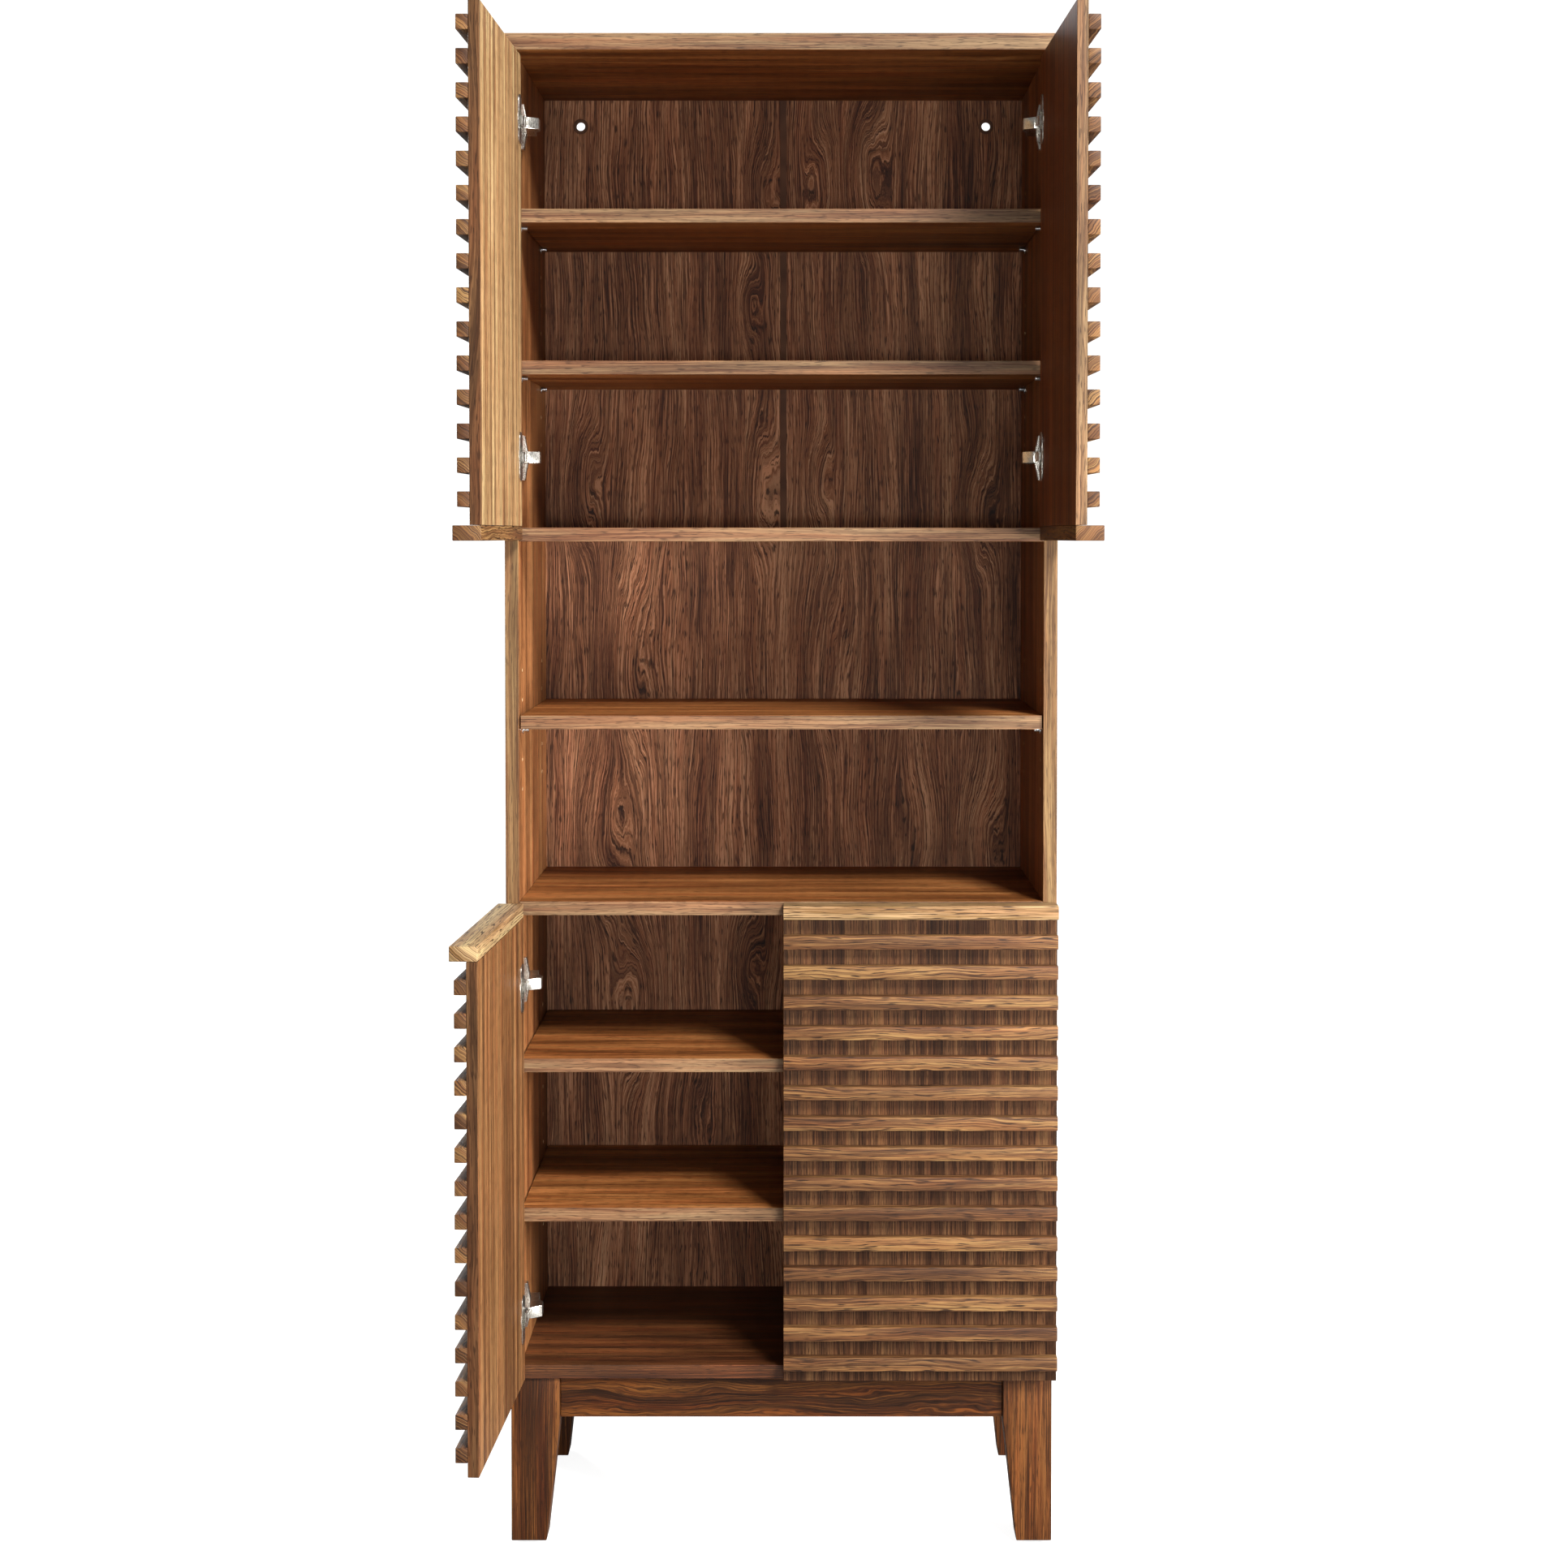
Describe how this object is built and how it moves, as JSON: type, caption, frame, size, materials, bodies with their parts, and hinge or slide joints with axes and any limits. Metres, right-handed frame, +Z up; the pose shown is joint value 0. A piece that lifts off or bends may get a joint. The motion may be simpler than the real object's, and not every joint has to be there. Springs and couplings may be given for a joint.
{
  "type": "shoe cabinet",
  "caption": "Tall narrow walnut shoe cabinet with slatted doors above and below an open section, adjustable shelves and tapered legs.",
  "frame": {"origin": "on the floor, mid-width, straight below the front edges of the side panels; with the doors open as stored this is the bottom centre of the bounding box to within 10 mm", "axes": "+X to the viewer's right, +Y to the rear, towards the wall, +Z up"},
  "size_m": [0.6788, 0.6564, 1.754],
  "materials": {
    "walnut_veneer": "satin veneer, open grain",
    "back_veneer": "matt veneer on thin board",
    "nickel": "nickel plated, satin",
    "glide_plastic": "matt"
  },
  "bodies": {
    "carcass": {"side_left": "walnut_veneer", "side_right": "walnut_veneer", "top_panel": "walnut_veneer", "bottom_panel": "walnut_veneer", "divider_lower": "walnut_veneer", "divider_upper": "walnut_veneer", "shelf_lower_1": "walnut_veneer", "shelf_lower_2": "walnut_veneer", "shelf_open": "walnut_veneer", "shelf_upper_1": "walnut_veneer", "shelf_upper_2": "walnut_veneer", "back_lower": "back_veneer", "back_middle": "back_veneer", "back_upper_left": "back_veneer", "back_upper_right": "back_veneer", "back_joint_strip": "back_veneer", "leg_front_left": "walnut_veneer", "glide_front_left": "glide_plastic", "leg_front_right": "walnut_veneer", "glide_front_right": "glide_plastic", "leg_rear_left": "walnut_veneer", "glide_rear_left": "glide_plastic", "leg_rear_right": "walnut_veneer", "glide_rear_right": "glide_plastic", "apron_front": "walnut_veneer", "apron_rear": "walnut_veneer", "apron_left": "walnut_veneer", "apron_right": "walnut_veneer", "upper_left_hinge_arm_top": "nickel", "upper_left_hinge_arm_bottom": "nickel", "upper_right_hinge_arm_top": "nickel", "upper_right_hinge_arm_bottom": "nickel", "lower_left_hinge_arm_top": "nickel", "lower_left_hinge_arm_bottom": "nickel", "lower_right_hinge_arm_top": "nickel", "lower_right_hinge_arm_bottom": "nickel"},
    "upper_left_door": {"upper_left_door_panel": "walnut_veneer", "upper_left_door_rail": "walnut_veneer", "upper_left_hinge_cup_top": "nickel", "upper_left_hinge_cup_bottom": "nickel"},
    "upper_left_link_top": {"upper_left_hinge_link_top": "nickel"},
    "upper_left_link_bottom": {"upper_left_hinge_link_bottom": "nickel"},
    "upper_right_door": {"upper_right_door_panel": "walnut_veneer", "upper_right_door_rail": "walnut_veneer", "upper_right_hinge_cup_top": "nickel", "upper_right_hinge_cup_bottom": "nickel"},
    "upper_right_link_top": {"upper_right_hinge_link_top": "nickel"},
    "upper_right_link_bottom": {"upper_right_hinge_link_bottom": "nickel"},
    "lower_left_door": {"lower_left_door_panel": "walnut_veneer", "lower_left_door_rail": "walnut_veneer", "lower_left_hinge_cup_top": "nickel", "lower_left_hinge_cup_bottom": "nickel"},
    "lower_left_link_top": {"lower_left_hinge_link_top": "nickel"},
    "lower_left_link_bottom": {"lower_left_hinge_link_bottom": "nickel"},
    "lower_right_door": {"lower_right_door_panel": "walnut_veneer", "lower_right_door_rail": "walnut_veneer", "lower_right_hinge_cup_top": "nickel", "lower_right_hinge_cup_bottom": "nickel"},
    "lower_right_link_top": {"lower_right_hinge_link_top": "nickel"},
    "lower_right_link_bottom": {"lower_right_hinge_link_bottom": "nickel"}
  },
  "joints": [
    {"name": "upper_left_door_hinge", "type": "hinge", "parent": "carcass", "child": "upper_left_door", "pos_m": [-0.3126, -0.016, 1.4535], "axis": [0, 0, -1], "range_deg": [-91.5, 13.5]},
    {"name": "upper_left_link_pivot_top", "type": "hinge", "parent": "carcass", "child": "upper_left_link_top", "pos_m": [-0.2952, -0.0082, 1.6565], "axis": [0, 0, -1], "range_deg": [-14.27, 93.83]},
    {"name": "upper_left_link_pivot_bottom", "type": "hinge", "parent": "carcass", "child": "upper_left_link_bottom", "pos_m": [-0.2952, -0.0082, 1.2715], "axis": [0, 0, -1], "range_deg": [-14.27, 93.83]},
    {"name": "upper_right_door_hinge", "type": "hinge", "parent": "carcass", "child": "upper_right_door", "pos_m": [0.3126, -0.016, 1.4535], "axis": [0, 0, 1], "range_deg": [-91.5, 13.5]},
    {"name": "upper_right_link_pivot_top", "type": "hinge", "parent": "carcass", "child": "upper_right_link_top", "pos_m": [0.2952, -0.0082, 1.6565], "axis": [0, 0, 1], "range_deg": [-14.27, 93.83]},
    {"name": "upper_right_link_pivot_bottom", "type": "hinge", "parent": "carcass", "child": "upper_right_link_bottom", "pos_m": [0.2952, -0.0082, 1.2715], "axis": [0, 0, 1], "range_deg": [-14.27, 93.83]},
    {"name": "lower_left_door_hinge", "type": "hinge", "parent": "carcass", "child": "lower_left_door", "pos_m": [-0.3126, -0.016, 0.477], "axis": [0, 0, -1], "range_deg": [-92.5, 12.5]},
    {"name": "lower_left_link_pivot_top", "type": "hinge", "parent": "carcass", "child": "lower_left_link_top", "pos_m": [-0.2952, -0.0082, 0.659], "axis": [0, 0, -1], "range_deg": [-13.25, 94.85]},
    {"name": "lower_left_link_pivot_bottom", "type": "hinge", "parent": "carcass", "child": "lower_left_link_bottom", "pos_m": [-0.2952, -0.0082, 0.274], "axis": [0, 0, -1], "range_deg": [-13.25, 94.85]},
    {"name": "lower_right_door_hinge", "type": "hinge", "parent": "carcass", "child": "lower_right_door", "pos_m": [0.3126, -0.016, 0.477], "axis": [0, 0, 1], "range_deg": [0, 105]},
    {"name": "lower_right_link_pivot_top", "type": "hinge", "parent": "carcass", "child": "lower_right_link_top", "pos_m": [0.2952, -0.0082, 0.659], "axis": [0, 0, 1], "range_deg": [-107.6, 0.5]},
    {"name": "lower_right_link_pivot_bottom", "type": "hinge", "parent": "carcass", "child": "lower_right_link_bottom", "pos_m": [0.2952, -0.0082, 0.274], "axis": [0, 0, 1], "range_deg": [-107.6, 0.5]}
  ],
  "couplings": [
    {"joint": "upper_left_link_pivot_top", "follows": "upper_left_door_hinge", "ratio": -1.02},
    {"joint": "upper_left_link_pivot_bottom", "follows": "upper_left_door_hinge", "ratio": -1.02},
    {"joint": "upper_right_link_pivot_top", "follows": "upper_right_door_hinge", "ratio": -1.02},
    {"joint": "upper_right_link_pivot_bottom", "follows": "upper_right_door_hinge", "ratio": -1.02},
    {"joint": "lower_left_link_pivot_top", "follows": "lower_left_door_hinge", "ratio": -1.02},
    {"joint": "lower_left_link_pivot_bottom", "follows": "lower_left_door_hinge", "ratio": -1.02},
    {"joint": "lower_right_link_pivot_top", "follows": "lower_right_door_hinge", "ratio": -1.02},
    {"joint": "lower_right_link_pivot_bottom", "follows": "lower_right_door_hinge", "ratio": -1.02}
  ]
}
